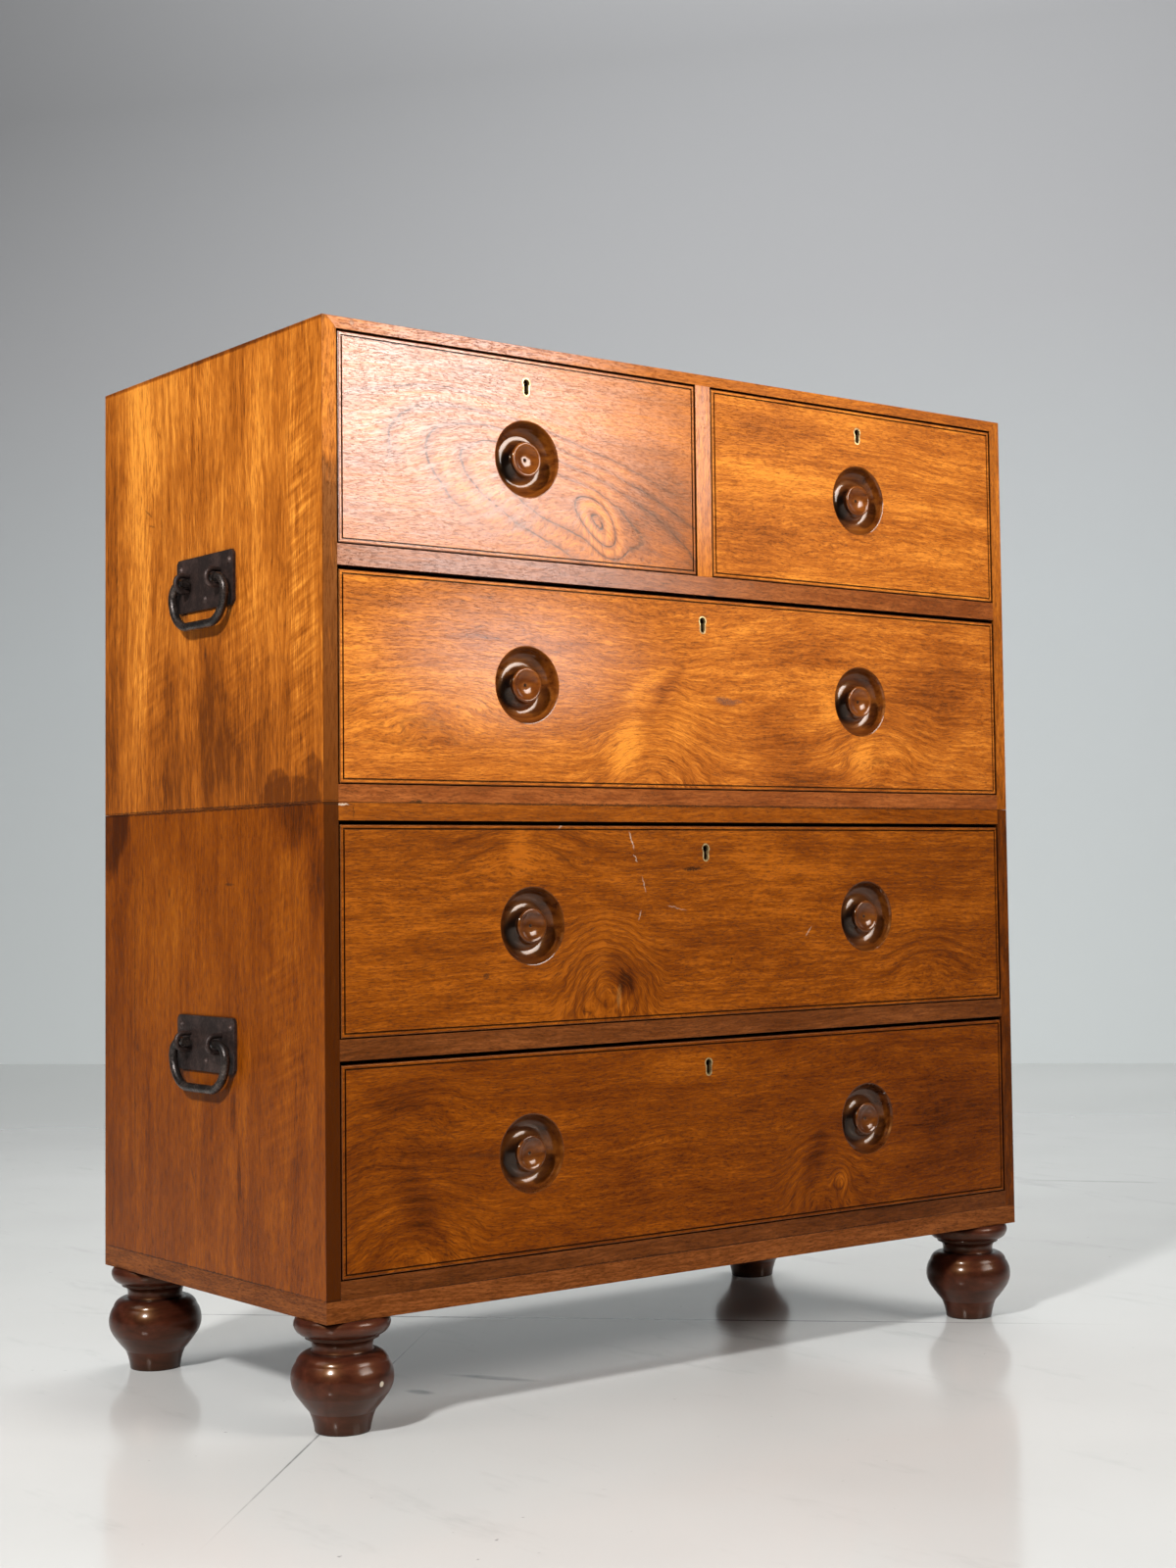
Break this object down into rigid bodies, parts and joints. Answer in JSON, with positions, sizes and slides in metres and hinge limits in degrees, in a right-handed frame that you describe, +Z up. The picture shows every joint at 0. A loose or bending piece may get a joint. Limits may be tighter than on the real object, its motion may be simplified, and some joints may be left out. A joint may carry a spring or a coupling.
{
  "type": "campaign chest",
  "caption": "Two-part wooden campaign chest of drawers with sunk turned pulls, iron side handles and turned feet.",
  "frame": {"origin": "on the floor under the middle of the chest, between the feet", "axes": "+X to the right along the front, +Y from the front to the back, +Z up"},
  "size_m": [1.0034, 0.5008, 1.09],
  "materials": {
    "case_wood": "old wax polish",
    "front_wood": "old wax polish",
    "inner_wood": "bare, dry",
    "turned_wood": "dark gloss polish",
    "iron": "worn black",
    "brass": "dull, aged"
  },
  "bodies": {
    "lower_case": {"base_frame": "case_wood", "feet": "turned_wood", "lower_bottom": "case_wood", "lower_left_side": "case_wood", "lower_right_side": "case_wood", "lower_top": "case_wood", "lower_rail": "case_wood", "lower_dust_board": "inner_wood", "lower_back": "inner_wood", "locating_pegs": "inner_wood", "lower_handle_mounts": "iron"},
    "upper_case": {"upper_bottom": "case_wood", "upper_left_side": "case_wood", "upper_right_side": "case_wood", "upper_top": "case_wood", "upper_rail": "case_wood", "upper_muntin": "case_wood", "upper_dust_board": "inner_wood", "upper_drawer_guide": "inner_wood", "upper_back": "inner_wood", "upper_handle_mounts": "iron"},
    "drawer_1": {"drawer_1_front": "front_wood", "drawer_1_sides": "inner_wood", "drawer_1_back": "inner_wood", "drawer_1_bottom": "inner_wood", "drawer_1_pulls": "turned_wood", "drawer_1_lock": "brass"},
    "bolt_1": {"drawer_1_bolt": "brass"},
    "drawer_2": {"drawer_2_front": "front_wood", "drawer_2_sides": "inner_wood", "drawer_2_back": "inner_wood", "drawer_2_bottom": "inner_wood", "drawer_2_pulls": "turned_wood", "drawer_2_lock": "brass"},
    "bolt_2": {"drawer_2_bolt": "brass"},
    "drawer_3": {"drawer_3_front": "front_wood", "drawer_3_sides": "inner_wood", "drawer_3_back": "inner_wood", "drawer_3_bottom": "inner_wood", "drawer_3_pulls": "turned_wood", "drawer_3_lock": "brass"},
    "bolt_3": {"drawer_3_bolt": "brass"},
    "drawer_4": {"drawer_4_front": "front_wood", "drawer_4_sides": "inner_wood", "drawer_4_back": "inner_wood", "drawer_4_bottom": "inner_wood", "drawer_4_pulls": "turned_wood", "drawer_4_lock": "brass"},
    "bolt_4": {"drawer_4_bolt": "brass"},
    "drawer_5": {"drawer_5_front": "front_wood", "drawer_5_sides": "inner_wood", "drawer_5_back": "inner_wood", "drawer_5_bottom": "inner_wood", "drawer_5_pulls": "turned_wood", "drawer_5_lock": "brass"},
    "bolt_5": {"drawer_5_bolt": "brass"},
    "upper_left_bail_swing": {"upper_left_bail": "iron"},
    "upper_right_bail_swing": {"upper_right_bail": "iron"},
    "lower_left_bail_swing": {"lower_left_bail": "iron"},
    "lower_right_bail_swing": {"lower_right_bail": "iron"}
  },
  "joints": [
    {"name": "upper_case_lift", "type": "slide", "parent": "lower_case", "child": "upper_case", "axis": [0, 0, 1], "range_m": [0, 0.15]},
    {"name": "drawer_1_slide", "type": "slide", "parent": "upper_case", "child": "drawer_1", "axis": [0, -1, 0], "range_m": [0, 0.38]},
    {"name": "bolt_1_throw", "type": "slide", "parent": "drawer_1", "child": "bolt_1", "axis": [0, 0, 1], "range_m": [0, 0.009]},
    {"name": "drawer_2_slide", "type": "slide", "parent": "upper_case", "child": "drawer_2", "axis": [0, -1, 0], "range_m": [0, 0.38]},
    {"name": "bolt_2_throw", "type": "slide", "parent": "drawer_2", "child": "bolt_2", "axis": [0, 0, 1], "range_m": [0, 0.009]},
    {"name": "drawer_3_slide", "type": "slide", "parent": "upper_case", "child": "drawer_3", "axis": [0, -1, 0], "range_m": [0, 0.38]},
    {"name": "bolt_3_throw", "type": "slide", "parent": "drawer_3", "child": "bolt_3", "axis": [0, 0, 1], "range_m": [0, 0.009]},
    {"name": "drawer_4_slide", "type": "slide", "parent": "lower_case", "child": "drawer_4", "axis": [0, -1, 0], "range_m": [0, 0.38]},
    {"name": "bolt_4_throw", "type": "slide", "parent": "drawer_4", "child": "bolt_4", "axis": [0, 0, 1], "range_m": [0, 0.009]},
    {"name": "drawer_5_slide", "type": "slide", "parent": "lower_case", "child": "drawer_5", "axis": [0, -1, 0], "range_m": [0, 0.38]},
    {"name": "bolt_5_throw", "type": "slide", "parent": "drawer_5", "child": "bolt_5", "axis": [0, 0, 1], "range_m": [0, 0.009]},
    {"name": "upper_left_bail_hinge", "type": "hinge", "parent": "upper_case", "child": "upper_left_bail_swing", "pos_m": [-0.4905, -0.0025, 0.8525], "axis": [0, 1, 0], "range_deg": [0, 150]},
    {"name": "upper_right_bail_hinge", "type": "hinge", "parent": "upper_case", "child": "upper_right_bail_swing", "pos_m": [0.4905, -0.0025, 0.8525], "axis": [0, -1, 0], "range_deg": [0, 150]},
    {"name": "lower_left_bail_hinge", "type": "hinge", "parent": "lower_case", "child": "lower_left_bail_swing", "pos_m": [-0.4905, -0.0025, 0.37], "axis": [0, 1, 0], "range_deg": [0, 150]},
    {"name": "lower_right_bail_hinge", "type": "hinge", "parent": "lower_case", "child": "lower_right_bail_swing", "pos_m": [0.4905, -0.0025, 0.37], "axis": [0, -1, 0], "range_deg": [0, 150]}
  ]
}
